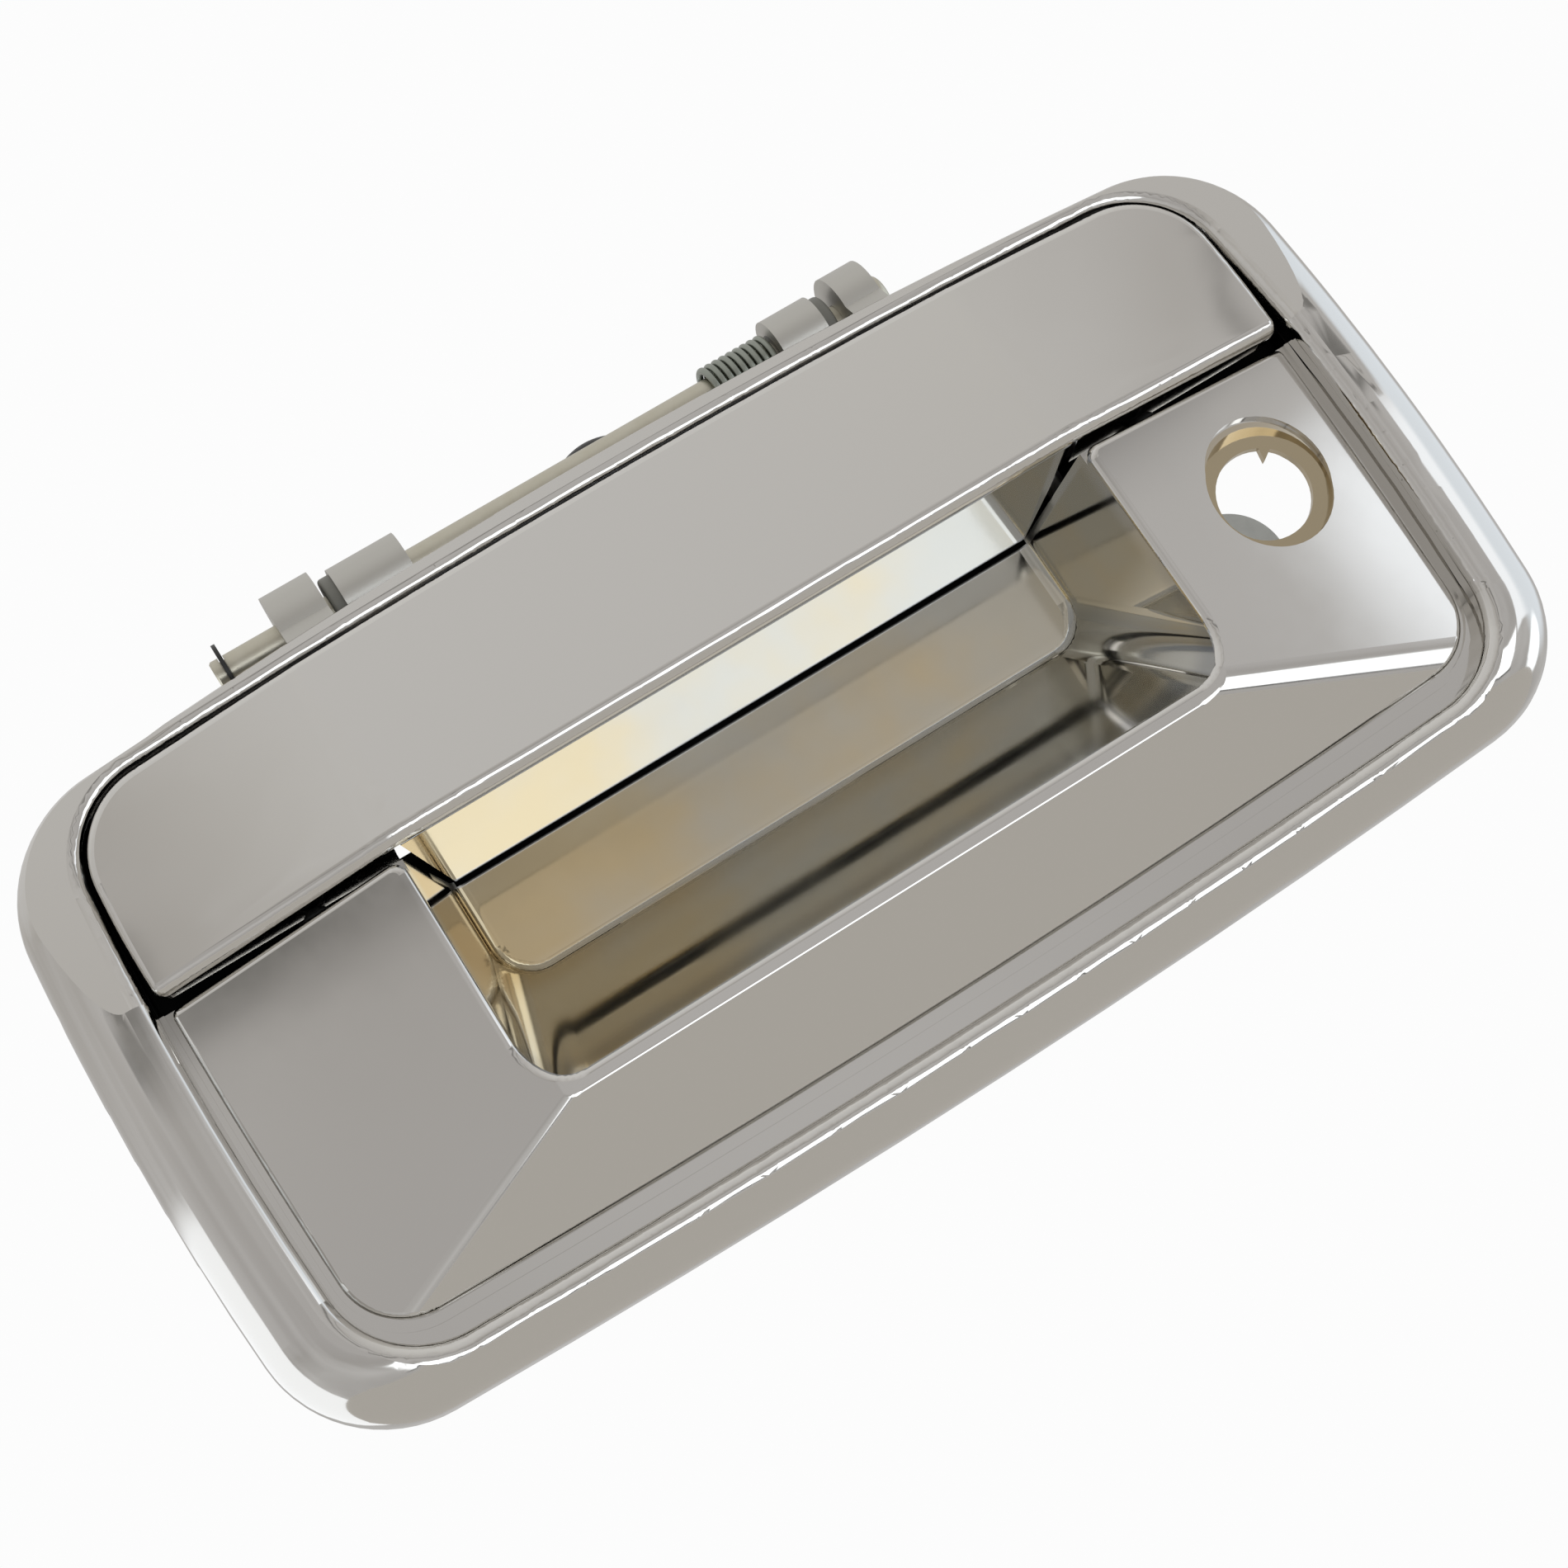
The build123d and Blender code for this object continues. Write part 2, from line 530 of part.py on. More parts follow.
def flap_spring():
    """Torsion coil round the pin, one leg down to the lever bracket and one beside the flap arm."""
    turns = 8.5
    pitch = 1.17
    mean_r = 3.6
    wire_r = 0.52
    start_x = 20.3
    coil = Helix(pitch, turns * pitch, mean_r)
    section = Plane(origin=coil @ 0, z_dir=coil % 0) * Circle(wire_r)
    winding = Rot(0, 90, 0) * Rot(0, 0, 90) * sweep(section, path=coil, is_frenet=True)
    winding = Pos(start_x, AXIS_Y, AXIS_Z) * winding
    end_x = start_x + turns * pitch
    fixed_leg = Pos(start_x, AXIS_Y + mean_r, AXIS_Z - 4.0) * Cylinder(wire_r, 8.0)
    moving_leg = Pos(end_x, AXIS_Y - mean_r, AXIS_Z - 6.0) * Cylinder(wire_r, 12.0)
    return winding + fixed_leg + moving_leg


def bumper(x):
    """Round rubber stop: nose and collar in front of the floor, stem and barb behind it."""
    rear_y = FLOOR_Y + WALL
    collar = rod_y(FLOOR_Y - 1.2, FLOOR_Y, x, BUMPER_Z, 2.6)
    nose = rod_y(-5.1, FLOOR_Y - 1.2, x, BUMPER_Z, 2.3)
    nose = fillet(nose.edges().sort_by(Axis.Y)[0], 1.2)
    stem = rod_y(FLOOR_Y, rear_y + 1.2, x, BUMPER_Z, 1.4)
    barb = rod_y(rear_y, rear_y + 1.2, x, BUMPER_Z, 2.1)
    return collar + nose + stem + barb


def gasket():
    """Flat foam seal between the bezel's rear edge and the door skin."""
    return slab(outer_outline(0.8), 0, GASKET_T) - slab(outer_outline(GASKET_INNER), -5, 5)


def stud(x):
    """M6 shank with a thicker root pressed into its boss."""
    rod = rod_y(BOSS_END_Y, STUD_END_Y, x, STUD_Z, STUD_R)
    rod = chamfer(rod.edges().sort_by(Axis.Y)[-1], 0.6)
    return rod + rod_y(STUD_ROOT_Y, BOSS_END_Y, x, STUD_Z, STUD_ROOT_R)


def lever_bracket():
    """Steel plate across the back of the right hinge rib, carrying the lever pivot."""
    outline = [(14, 35), (38, 35), (41, 32), (41, 21.5), (47.5, 21.5), (47.5, 42.5), (30, 42.5), (26, 47),
               (16, 47), (13, 44)]
    plate = prism_y(outline, PLATE_Y, PLATE_Y + PLATE_T)
    for z in SCREW_Z:
        plate = plate - rod_y(10, 25, SCREW_X, z, 2.2)
    return plate - rod_y(10, 25, PIVOT_X, PIVOT_Z, 2.5)


def bracket_screws():
    screws = []
    top_y = PLATE_Y + PLATE_T
    for z in SCREW_Z:
        shank = rod_y(PLATE_Y - 7, top_y, SCREW_X, z, SCREW_R)
        head = fillet(rod_y(top_y, top_y + 2.2, SCREW_X, z, 3.6).edges().sort_by(Axis.Y)[-1], 1.2)
        cross = block(SCREW_X - 1.9, SCREW_X + 1.9, top_y + 1, top_y + 3, z - 0.45, z + 0.45)
        cross = cross + block(SCREW_X - 0.45, SCREW_X + 0.45, top_y + 1, top_y + 3, z - 1.9, z + 1.9)
        screws.append(shank + head - cross)
    return Compound(children=[s.solid() for s in screws])


def lever_pivot():
    pin = rod_y(PLATE_Y - 1.0, 27.0, PIVOT_X, PIVOT_Z, 2.5)
    tail = fillet(rod_y(PLATE_Y - 1.6, PLATE_Y, PIVOT_X, PIVOT_Z, 4.0).edges().sort_by(Axis.Y)[0], 0.6)
    head = fillet(rod_y(27.0, 28.2, PIVOT_X, PIVOT_Z, 4.6).edges().sort_by(Axis.Y)[-1], 0.5)
    return pin + tail + head


def lever_washer():
    return rod_y(PLATE_Y + PLATE_T, LEVER_Y - 0.1, PIVOT_X, PIVOT_Z, 5.0) - rod_y(
        10, 30, PIVOT_X, PIVOT_Z, 2.6)


def release_lever():
    y0 = LEVER_Y
    y1 = LEVER_Y + LEVER_T
    hub = rod_y(y0, y1, PIVOT_X, PIVOT_Z, 6.5)
    pad = rod_y(y0, y1, PAD_X, PAD_Z, PAD_R)
    head = rod_y(y0, y1, CLIP_CX, CLIP_CZ, 4.2)
    right = prism_y([(PIVOT_X, PIVOT_Z - 6.3), (PAD_X + 1, PAD_Z - 3.9), (PAD_X - 1, PAD_Z + 3.8),
                     (PIVOT_X - 1, PIVOT_Z + 6.3)], y0, y1)
    left = prism_y([(PIVOT_X - 4, PIVOT_Z - 5.2), (PIVOT_X + 3, PIVOT_Z + 5.8), (CLIP_CX + 2, CLIP_CZ + 3.7),
                    (CLIP_CX - 2.4, CLIP_CZ - 3.5)], y0, y1)
    lever = hub + pad + head + right + left
    lever = lever - rod_y(10, 30, PIVOT_X, PIVOT_Z, 2.5 + RUNNING)
    return lever - rod_y(10, 30, CLIP_CX, CLIP_CZ, 2.4 + RUNNING)


def lever_spring():
    """Light torsion coil on the lever pivot."""
    coil = Helix(1.0, 3.2, 3.5)
    section = Plane(origin=coil @ 0, z_dir=coil % 0) * Circle(0.4)
    solid = sweep(section, path=coil, is_frenet=True)
    return Pos(PIVOT_X, LEVER_Y + LEVER_T + 0.55, PIVOT_Z) * Rot(-90, 0, 0) * solid


def rod_clip():
    """Snap button through the lever head with the rod saddle behind."""
    button = fillet(rod_y(16.2, LEVER_Y - 0.1, CLIP_CX, CLIP_CZ, CLIP_BUTTON_R).edges().sort_by(Axis.Y)[0], 2.6)
    stem = rod_y(LEVER_Y - 0.2, LEVER_Y + LEVER_T + 0.2, CLIP_CX, CLIP_CZ, 2.4)
    rear_y = LEVER_Y + LEVER_T
    saddle = block(CLIP_CX - 4, CLIP_CX + 4, rear_y + 0.1, rear_y + 7.5, CLIP_CZ - 4.5, CLIP_CZ + 4.5)
    saddle = fillet(saddle.edges().filter_by(Axis.Y), 1.5)
    bore = Pos(CLIP_CX, rear_y + 4.2, CLIP_CZ) * Cylinder(1.9, 20)
    throat = block(CLIP_CX - 1.5, CLIP_CX + 1.5, rear_y + 4.2, 40, CLIP_CZ - 9, CLIP_CZ + 9)
    return button + stem + (saddle - bore - throat)


def cylinder_retainer():
    """Flat spring clip slid into the boss slot, its round ear across the lower left of the bore."""
    y0, y1 = RETAINER_Y, RETAINER_Y + RETAINER_T
    ear = rod_y(y0, y1, EAR_X, EAR_Z, EAR_R)
    reach = block(EAR_X - 3.5, EAR_X + EAR_R, y0, y1, EAR_Z - 4.5, EAR_Z + EAR_R)
    return ear & reach


def export_all():
    os.makedirs("parts", exist_ok=True)
    nodes = {
        "bezel": bezel(),
        "flap": flap(),
        "finger_plate": finger_plate(),
        "hinge_pin": hinge_pin(),
        "hinge_e_clip": e_clip(),
        "hinge_bush_left": hinge_bush(LEFT_ARM[1], LEFT_ARM[0]),
        "hinge_bush_right": hinge_bush(RIGHT_ARM[0], RIGHT_ARM[1]),
        "flap_spring": flap_spring(),
        "bumper_left": bumper(-BUMPER_X),
        "bumper_right": bumper(BUMPER_X),
        "seal_gasket": gasket(),
        "mounting_studs": Compound(children=[stud(s * STUD_X).solid() for s in (-1, 1)]),
        "lever_bracket": lever_bracket(),
        "bracket_screws": bracket_screws(),
        "lever_pivot": lever_pivot(),
        "lever_washer": lever_washer(),
        "release_lever": release_lever(),
        "lever_spring": lever_spring(),
        "rod_clip": rod_clip(),
        "cylinder_retainer": cylinder_retainer(),
    }
    to_origin = Pos(0, -BOSS_END_Y, -STUD_Z)
    for name, shape in nodes.items():
        export_step(to_origin * shape, "parts/" + name + ".step")


export_all()
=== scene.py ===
"""Car door outside handle: looks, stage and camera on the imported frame."""

import json
import math

import bmesh
import bpy
from bpy.props import FloatProperty, FloatVectorProperty, PointerProperty
from mathutils import Matrix, Vector


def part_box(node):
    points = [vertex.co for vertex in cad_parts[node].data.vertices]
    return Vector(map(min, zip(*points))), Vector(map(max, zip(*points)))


bl_info = {
    "name": "Car Door Handle",
    "version": (1, 0, 0),
    "blender": (4, 5, 0),
    "location": "3D View > Sidebar > Door Handle",
    "description": "Dresses the door handle's frame with plated, zinc and rubber finishes",
    "category": "Object",
}

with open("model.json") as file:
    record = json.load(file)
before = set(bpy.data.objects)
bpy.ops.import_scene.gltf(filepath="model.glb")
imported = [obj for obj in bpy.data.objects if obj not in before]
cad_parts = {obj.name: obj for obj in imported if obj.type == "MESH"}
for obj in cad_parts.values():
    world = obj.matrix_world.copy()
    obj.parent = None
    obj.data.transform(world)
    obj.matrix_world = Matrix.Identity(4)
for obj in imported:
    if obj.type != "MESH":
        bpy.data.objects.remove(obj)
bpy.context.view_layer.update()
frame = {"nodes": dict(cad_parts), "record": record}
MM = 0.001

# Places on the castings, in metres, from the record's mounts and openings.
SEAT_Y = next(m for m in frame["record"]["mounts"] if m["name"] == "door_seat")["pos_m"][1]
OPENINGS = frame["record"]["physics"]["openings"]
MOUTH = next(o for o in OPENINGS if o["name"] == "finger_pocket_mouth")["box_m"]
KEY = next(m for m in frame["record"]["mounts"] if m["name"] == "keyhole_mouth")
KEY_X, KEY_Z = KEY["pos_m"][0], KEY["pos_m"][2]
KEY_WALL_R = KEY["dims"]["r_mm"] * MM
PLATE_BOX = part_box("finger_plate")
BEZEL_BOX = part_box("bezel")

# The panel falls towards its ends by this much per metre, and the keyhole's rim lies on it.
LAND_FALL = 0.2216
KEY_LAND = KEY["pos_m"][1] - 0.9 * MM - LAND_FALL * KEY_X
LAND_TOP = MOUTH[1][2]

# The finger pocket narrows with depth, and its lower wall rises with depth.
POCKET_TAPER = 0.172
POCKET_RISE = 0.653
POCKET_FRONT = MOUTH[0][1]
POCKET_SIDE = MOUTH[1][0] + 4.4 * MM
POCKET_FLOOR = MOUTH[0][2] + 8.1 * MM
POCKET_BACK = PLATE_BOX[1][1] + 1.0 * MM

# The opening that the flap sits in, with round upper corners, and the apron behind the pocket.
OPENING_HALF = BEZEL_BOX[1][0] - 10.4 * MM
OPENING_TOP = LAND_TOP + 31.9 * MM
OPENING_CORNER = 13.0 * MM
APRON_HALF = 57.0 * MM

# Noise scales are features per metre.
WAVE_SCALE = 90.0  # waviness left by polishing, about 11 mm long
CAST_SCALE = 2600.0  # grain of the cast skin, about 0.4 mm
HAZE_SCALE = 38.0  # dust and wiping marks, about 26 mm
CLOUD_SCALE = 55.0  # clouds in the pocket's painted reflection, about 18 mm
BLOOM_SCALE = 420.0  # crystal bloom of zinc plate, about 2.4 mm
RUB_SCALE = 160.0  # rubbed spots on rubber and plastic, about 6 mm

# Roughness.
PLATE_GLOSS = (0.05, 0.115)
CAST_ROUGH = 0.36
GAP_ROUGH = 0.5

LENS_MM = 56.84
SENSOR_MM = 36.0
CAMERA_PLACE = Vector((-59.0, -325.4, -91.3)) * MM
CAMERA_TARGET = Vector((-5.3, -17.0, -31.6)) * MM
CAMERA_ROLL_DEG = -33.27


def linear(hex_colour):
    """Linear RGBA from an sRGB hex colour."""
    parts = [int(hex_colour[i:i + 2], 16) / 255 for i in (1, 3, 5)]
    return [p / 12.92 if p <= 0.04045 else ((p + 0.055) / 1.055) ** 2.4 for p in parts] + [1.0]


# ------------------------------------------------------------------ node building

def add(tree, kind, settings=None, links=None):
    """A node with its settings and its links: {input: socket or value}."""
    node = tree.nodes.new(kind)
    for key, value in (settings or {}).items():
        setattr(node, key, value)
    for key, value in (links or {}).items():
        if isinstance(value, bpy.types.NodeSocket):
            tree.links.new(value, node.inputs[key])
        else:
            node.inputs[key].default_value = value
    return node


def new_material(name):
    """An empty material with its tree, its output node and the object's own coordinates."""
    material = bpy.data.materials.new(name)
    material.use_nodes = True
    tree = material.node_tree
    tree.nodes.clear()
    output = add(tree, "ShaderNodeOutputMaterial")
    place = add(tree, "ShaderNodeTexCoord").outputs["Object"]
    return material, tree, output, place


def masked(tree, edges, mask=1.0):
    """A mask times a smooth step for each edge, given as (value, where it is 0, where it is 1)."""
    for value, zero, one in edges:
        step = add(tree, "ShaderNodeMapRange", {"interpolation_type": "SMOOTHSTEP"}, {
            "Value": value, "From Min": min(zero, one), "From Max": max(zero, one),
            "To Min": float(zero > one), "To Max": float(one > zero)})
        product = add(tree, "ShaderNodeMath", {"operation": "MULTIPLY"}, {0: mask, 1: step.outputs[0]})
        mask = product.outputs[0]
    return mask


def layered(tree, colour, layers):
    """A colour with others laid over it, each given as (mask, colour)."""
    for mask, over in layers:
        mix = add(tree, "ShaderNodeMix", {"data_type": "RGBA"}, {0: mask, 6: colour, 7: over})
        colour = mix.outputs[2]
    return colour


def graded(tree, value, stops):
    """A colour that runs evenly from stop to stop, each given as (position, hex colour)."""
    layers = []
    for (start, _), (end, hex_colour) in zip(stops, stops[1:]):
        part = add(tree, "ShaderNodeMapRange", links={"Value": value, "From Min": start, "From Max": end})
        layers.append((part.outputs[0], linear(hex_colour)))
    return layered(tree, linear(stops[0][1]), layers)


# ------------------------------------------------------------------ masks on the castings

def pocket_mask(tree, side, y, z):
    """One on the pocket's polished walls, zero on the cup's cast outside."""
    width = add(tree, "ShaderNodeMath", {"operation": "MULTIPLY_ADD"}, {0: y, 1: POCKET_TAPER, 2: side})
    height = add(tree, "ShaderNodeMath", {"operation": "MULTIPLY_ADD"}, {0: y, 1: -POCKET_RISE, 2: z})
    return masked(tree, (
        (width.outputs[0], POCKET_SIDE + 0.3 * MM, POCKET_SIDE - 0.3 * MM),
        (height.outputs[0], POCKET_FLOOR - 0.4 * MM, POCKET_FLOOR + 0.4 * MM),
        (y, POCKET_BACK + 1.3 * MM, POCKET_BACK + 0.9 * MM),
        (z, LAND_TOP - 0.9 * MM, LAND_TOP - 1.3 * MM)))


def key_mask(tree, x, y, z):
    """One on the walls of the keyhole."""
    flat = add(tree, "ShaderNodeCombineXYZ", links={"X": x, "Z": z}).outputs[0]
    radius = add(tree, "ShaderNodeVectorMath", {"operation": "DISTANCE"}, {0: flat, 1: (KEY_X, 0.0, KEY_Z)})
    depth = add(tree, "ShaderNodeMath", {"operation": "MULTIPLY_ADD"}, {0: x, 1: -LAND_FALL, 2: y})
    return masked(tree, (
        (radius.outputs["Value"], KEY_WALL_R + 0.9 * MM, KEY_WALL_R + 0.7 * MM),
        (depth.outputs[0], KEY_LAND + 0.5 * MM, KEY_LAND + 1.2 * MM)))


def recess_painted_shade_mask(tree, side, y, z):
    """Painted shade mask: one inside the opening behind the flap and on the apron behind the pocket."""
    flat = add(tree, "ShaderNodeCombineXYZ", links={"X": side, "Z": z}).outputs[0]
    inner = (OPENING_HALF - OPENING_CORNER, 0.0, OPENING_TOP - OPENING_CORNER)
    past = add(tree, "ShaderNodeVectorMath", {"operation": "SUBTRACT"}, {0: flat, 1: inner}).outputs[0]
    beyond = add(tree, "ShaderNodeVectorMath", {"operation": "MAXIMUM"}, {0: past, 1: (0.0, 0.0, 0.0)})
    reach = add(tree, "ShaderNodeVectorMath", {"operation": "LENGTH"}, {0: beyond.outputs[0]})
    opening = masked(tree, (
        (reach.outputs["Value"], OPENING_CORNER + 1.0 * MM, OPENING_CORNER + 0.5 * MM),
        (z, LAND_TOP + 0.05 * MM, LAND_TOP + 0.4 * MM),
        (y, SEAT_Y - 6.4 * MM, SEAT_Y - 5.4 * MM),
        (y, SEAT_Y + 0.8 * MM, SEAT_Y)))
    apron = masked(tree, (
        (y, POCKET_BACK - 0.3 * MM, POCKET_BACK + 0.1 * MM),
        (y, POCKET_BACK + 3.9 * MM, POCKET_BACK + 3.4 * MM),
        (z, LAND_TOP - 1.1 * MM, LAND_TOP - 0.9 * MM),
        (z, LAND_TOP + 9 * MM, LAND_TOP + 8 * MM),
        (side, APRON_HALF + 0.5 * MM, APRON_HALF - 0.5 * MM)))
    return add(tree, "ShaderNodeMath", {"operation": "MAXIMUM"}, {0: opening, 1: apron}).outputs[0]


# ------------------------------------------------------------------ materials

def pocket_painted_reflection(tree, place, x, z):
    """Painted reflection in the pocket: browner at the blind end, greyer at the keyhole end, palest low
    down.
    """
    cloud = add(tree, "ShaderNodeTexNoise", links={"Vector": place, "Scale": CLOUD_SCALE, "Detail": 3.0})
    centred = add(tree, "ShaderNodeMath", {"operation": "SUBTRACT"}, {0: cloud.outputs["Fac"], 1: 0.5})
    patchy = add(tree, "ShaderNodeMath", {"operation": "MULTIPLY_ADD"}, {
        0: centred.outputs[0], 1: 0.16, 2: x})
    along = masked(tree, ((patchy.outputs[0], -45 * MM, 55 * MM),))
    upper = layered(tree, linear("#D6C29A"), ((along, linear("#C9C4B6")),))
    above = masked(tree, ((z, LAND_TOP - 22 * MM, LAND_TOP - 14 * MM),))
    return layered(tree, linear("#F4F0E6"), ((above, upper),))


def decorative_chrome(name, bright, cast, kind):
    """Bright chromium plate over polished zinc: a mirror in front, satin as cast behind the door skin.

    On the bezel, the pocket gets a painted reflection and the keyhole is tinted. The recess behind the flap
    and the apron are painted near black, a painted shade for the thin gap round the closed flap. This
    painted shade stays when the flap is open.
    """
    material, tree, output, place = new_material(name)
    axes = add(tree, "ShaderNodeSeparateXYZ", links={"Vector": place})
    x, y, z = axes.outputs["X"], axes.outputs["Y"], axes.outputs["Z"]
    side = add(tree, "ShaderNodeMath", {"operation": "ABSOLUTE"}, {0: x}).outputs[0]
    wave = add(tree, "ShaderNodeTexNoise", links={
        "Vector": place, "Scale": WAVE_SCALE, "Detail": 1.0, "Roughness": 0.4})
    grain = add(tree, "ShaderNodeTexNoise", links={
        "Vector": place, "Scale": CAST_SCALE, "Detail": 3.0, "Roughness": 0.6})
    haze = add(tree, "ShaderNodeTexNoise", links={
        "Vector": place, "Scale": HAZE_SCALE, "Detail": 5.0, "Roughness": 0.62})
    gloss = add(tree, "ShaderNodeMapRange", {"interpolation_type": "SMOOTHSTEP"}, {
        "Value": haze.outputs["Fac"], "From Min": 0.3, "From Max": 0.75,
        "To Min": PLATE_GLOSS[0], "To Max": PLATE_GLOSS[1]})
    back_edge = ((y, SEAT_Y + 0.2 * MM, SEAT_Y + 2.4 * MM),)
    if kind == "plate":
        behind = 0.0
    elif kind == "flap":
        behind = masked(tree, back_edge)
    else:
        pocket = pocket_mask(tree, side, y, z)
        outside = add(tree, "ShaderNodeMath", {"operation": "SUBTRACT"}, {0: 1.0, 1: pocket})
        behind = masked(tree, back_edge, outside.outputs[0])
    layers = [(behind, cast)]
    rough = add(tree, "ShaderNodeMix", {"data_type": "FLOAT"}, {
        0: behind, 2: gloss.outputs[0], 3: CAST_ROUGH}).outputs[0]
    if kind == "bezel":
        # painted reflection: the deeper pocket walls get a brown-gold tint that stands in for colour
        # mirrored in them
        deep = masked(tree, ((y, POCKET_FRONT + 3.0 * MM, POCKET_FRONT + 7.0 * MM),), pocket)
        painted_shade = recess_painted_shade_mask(tree, side, y, z)
        layers.append((deep, pocket_painted_reflection(tree, place, x, z)))
        layers.append((key_mask(tree, x, y, z), linear("#BDAF93")))
        # painted shade: the recess behind the flap and the apron are painted near black, standing in for the
        # shade in the gap
        layers.append((painted_shade, linear("#121212")))
        rough = add(tree, "ShaderNodeMix", {"data_type": "FLOAT"}, {
            0: painted_shade, 2: rough, 3: GAP_ROUGH}).outputs[0]
    polish = add(tree, "ShaderNodeBump", links={
        "Height": wave.outputs["Fac"], "Strength": 0.016, "Distance": 0.4 * MM})
    cast_only = add(tree, "ShaderNodeMath", {"operation": "MULTIPLY"}, {0: behind, 1: 0.16})
    skin = add(tree, "ShaderNodeBump", links={
        "Height": grain.outputs["Fac"], "Strength": cast_only.outputs[0], "Distance": 0.08 * MM,
        "Normal": polish.outputs[0]})
    shader = add(tree, "ShaderNodeBsdfPrincipled", links={
        "Base Color": layered(tree, bright, layers), "Metallic": 1.0, "Roughness": rough,
        "Normal": skin.outputs[0]})
    tree.links.new(shader.outputs[0], output.inputs["Surface"])
    return material


def zinc_steel(name, base, tint, grain_scale, rough):
    """Zinc-plated steel: a soft grey or straw metal with a fine cloudy crystal bloom."""
    material, tree, output, place = new_material(name)
    bloom = add(tree, "ShaderNodeTexNoise", links={
        "Vector": place, "Scale": BLOOM_SCALE, "Detail": 4.0, "Roughness": 0.6}).outputs["Fac"]
    fine = add(tree, "ShaderNodeTexNoise", links={"Vector": place, "Scale": grain_scale, "Detail": 2.0})
    gloss = add(tree, "ShaderNodeMapRange", links={
        "Value": bloom, "To Min": rough - 0.07, "To Max": rough + 0.09})
    bump = add(tree, "ShaderNodeBump", links={
        "Height": fine.outputs["Fac"], "Strength": 0.12, "Distance": 0.05 * MM})
    shader = add(tree, "ShaderNodeBsdfPrincipled", links={
        "Base Color": layered(tree, linear(base), ((bloom, linear(tint)),)), "Metallic": 1.0,
        "Roughness": gloss.outputs[0], "Normal": bump.outputs[0]})
    tree.links.new(shader.outputs[0], output.inputs["Surface"])
    return material


def dull_polymer(name, base, worn, skin_scale, rough, bump_mm):
    """Moulded rubber, foam or plastic: low gloss, a fine moulded skin and paler rubbed spots."""
    material, tree, output, place = new_material(name)
    rub = add(tree, "ShaderNodeTexNoise", links={
        "Vector": place, "Scale": RUB_SCALE, "Detail": 4.0}).outputs["Fac"]
    skin = add(tree, "ShaderNodeTexNoise", links={"Vector": place, "Scale": skin_scale, "Detail": 3.0})
    gloss = add(tree, "ShaderNodeMapRange", links={
        "Value": rub, "To Min": rough - 0.08, "To Max": rough + 0.08})
    bump = add(tree, "ShaderNodeBump", links={
        "Height": skin.outputs["Fac"], "Strength": 0.35, "Distance": bump_mm * MM})
    shader = add(tree, "ShaderNodeBsdfPrincipled", links={
        "Base Color": graded(tree, rub, ((0.35, base), (0.8, worn))),
        "Roughness": gloss.outputs[0], "Normal": bump.outputs[0]})
    tree.links.new(shader.outputs[0], output.inputs["Surface"])
    return material


def paint_nodes(material, *nodes):
    """Give CAD nodes this material in each of their slots."""
    for name in nodes:
        slots = frame["nodes"][name].material_slots
        if not slots:
            raise RuntimeError("no material slot on " + name)
        for slot in slots:
            slot.link = "OBJECT"
            slot.material = material


# ------------------------------------------------------------------ settings

class HandleFinish(bpy.types.PropertyGroup):
    """Colours of the plated castings."""
    plate: FloatVectorProperty(
        name="Chromium Plate", description="Linear colour of the bright plate",
        subtype="COLOR", size=4, min=0.0, max=1.0, default=linear("#D9D7D3"))
    finger_plate: FloatVectorProperty(
        name="Finger Plate", description="Linear colour of the finger plate, a little colder",
        subtype="COLOR", size=4, min=0.0, max=1.0, default=linear("#CDD3DE"))
    cast: FloatVectorProperty(
        name="Cast Back", description="Linear colour of the satin cast back",
        subtype="COLOR", size=4, min=0.0, max=1.0, default=linear("#C3C1BB"))


class HandleStage(bpy.types.PropertyGroup):
    """Sizes of the floor."""
    drop: FloatProperty(
        name="Floor Drop", description="Distance of the floor below the handle",
        default=0.45, unit="LENGTH")
    radius: FloatProperty(
        name="Floor Radius", description="Radius of the round floor", default=0.62, unit="LENGTH")


# ------------------------------------------------------------------ operators

class HANDLE_OT_plated_castings(bpy.types.Operator):
    """Bezel, flap and finger plate: bright chromium plate"""
    bl_idname = "handle.plated_castings"
    bl_label = "Plated Castings"

    def execute(self, context):
        finish = context.scene.handle_finish
        for node, kind, bright in (("bezel", "bezel", finish.plate), ("flap", "flap", finish.plate),
                                   ("finger_plate", "plate", finish.finger_plate)):
            paint_nodes(decorative_chrome("Bright Chromium Plate " + kind, bright, finish.cast, kind), node)
        return {"FINISHED"}


class HANDLE_OT_hinge_hardware(bpy.types.Operator):
    """Pin, clip, bushes and springs"""
    bl_idname = "handle.hinge_hardware"
    bl_label = "Hinge Hardware"

    def execute(self, context):
        straw = zinc_steel("Yellow Passivated Zinc Plate", "#BDB8A6", "#CFCBBE", 3000.0, 0.34)
        wire = zinc_steel("Zinc Plated Spring Wire", "#8E938B", "#A3A79E", 4000.0, 0.30)
        black = dull_polymer("Black Phosphated Spring Steel", "#161616", "#2A2A2A", 2500.0, 0.45, 0.03)
        acetal = dull_polymer("Grey Acetal", "#77766F", "#85847C", 2200.0, 0.42, 0.02)
        paint_nodes(straw, "hinge_pin", "lever_pivot")
        paint_nodes(wire, "flap_spring", "lever_spring")
        paint_nodes(black, "hinge_e_clip")
        paint_nodes(acetal, "hinge_bush_left", "hinge_bush_right", "lever_washer")
        return {"FINISHED"}


